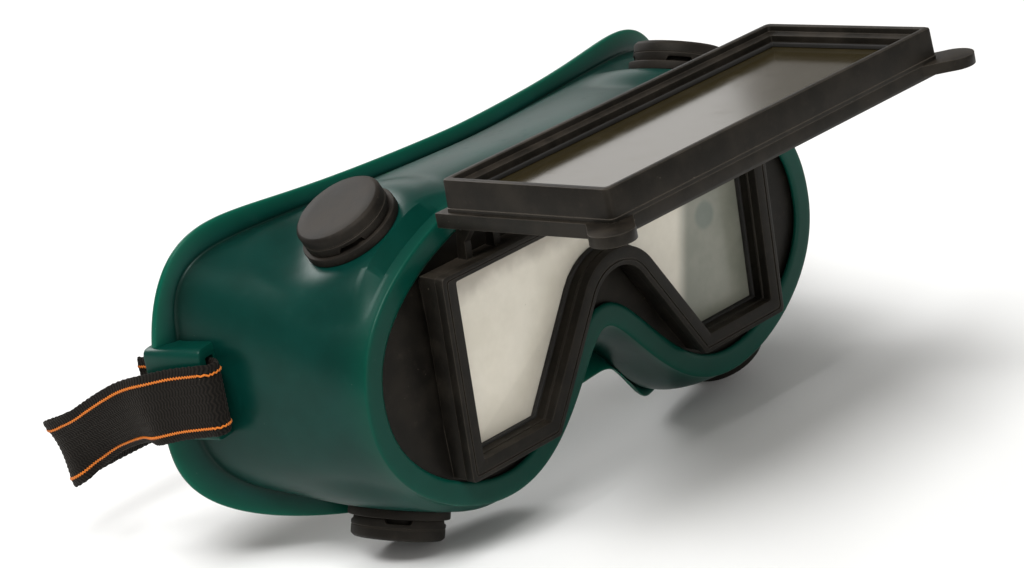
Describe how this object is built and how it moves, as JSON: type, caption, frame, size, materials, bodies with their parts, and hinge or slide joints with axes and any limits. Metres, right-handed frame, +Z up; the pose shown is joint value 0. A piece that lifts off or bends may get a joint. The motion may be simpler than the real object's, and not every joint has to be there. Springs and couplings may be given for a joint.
{
  "type": "welding goggles",
  "caption": "Soft moulded goggles with a clear window, a dark filter that flips up on a hinge, screw-in vent caps and an elastic headband.",
  "frame": {"origin": "middle of the face seal, level with the centre of the window", "axes": "+Z up as worn, +Y back to the wearer's face, +X to the wearer's left"},
  "size_m": [0.204, 0.1665, 0.0986],
  "materials": {
    "soft_pvc": "soft satin moulded PVC, dark teal green",
    "black_plastic": "satin moulded black plastic",
    "vent_plastic": "satin moulded black plastic",
    "seal_rubber": "matt black rubber",
    "clear_lens": "clear, slightly hazed",
    "clear_plate": "clear and glossy",
    "dark_filter": "glossy, almost black green",
    "steel_pin": "plain drawn steel",
    "elastic_band": "black ribbed woven elastic with orange stitched lines"
  },
  "bodies": {
    "goggles": {"soft_body": "soft_pvc", "front_housing": "black_plastic", "lens_seal": "seal_rubber", "clear_lens": "clear_lens", "front_bezel": "black_plastic", "hinge_pin_right": "steel_pin", "hinge_pin_left": "steel_pin", "vent_base_top_right": "vent_plastic", "vent_base_top_left": "vent_plastic", "vent_base_bottom_right": "vent_plastic", "vent_base_bottom_left": "vent_plastic", "vent_cap_top_right": "vent_plastic", "vent_cap_top_left": "vent_plastic", "vent_cap_bottom_right": "vent_plastic", "vent_cap_bottom_left": "vent_plastic", "vent_nut_top_right": "vent_plastic", "vent_nut_top_left": "vent_plastic", "vent_nut_bottom_right": "vent_plastic", "vent_nut_bottom_left": "vent_plastic", "headband": "elastic_band"},
    "shade": {"flip_base": "black_plastic", "flip_tray": "black_plastic", "shade_filter": "dark_filter", "filter_cover_plate": "clear_plate", "filter_seal": "seal_rubber"},
    "slider": {"strap_slider": "vent_plastic"}
  },
  "joints": [
    {"name": "shade_flip", "type": "hinge", "parent": "goggles", "child": "shade", "pos_m": [0, -0.0418, 0.0344], "axis": [1, 0, 0], "range_deg": [-20, 94]},
    {"name": "slider_slide", "type": "slide", "parent": "goggles", "child": "slider", "axis": [1, 0, 0], "range_m": [-0.095, 0.036]}
  ]
}
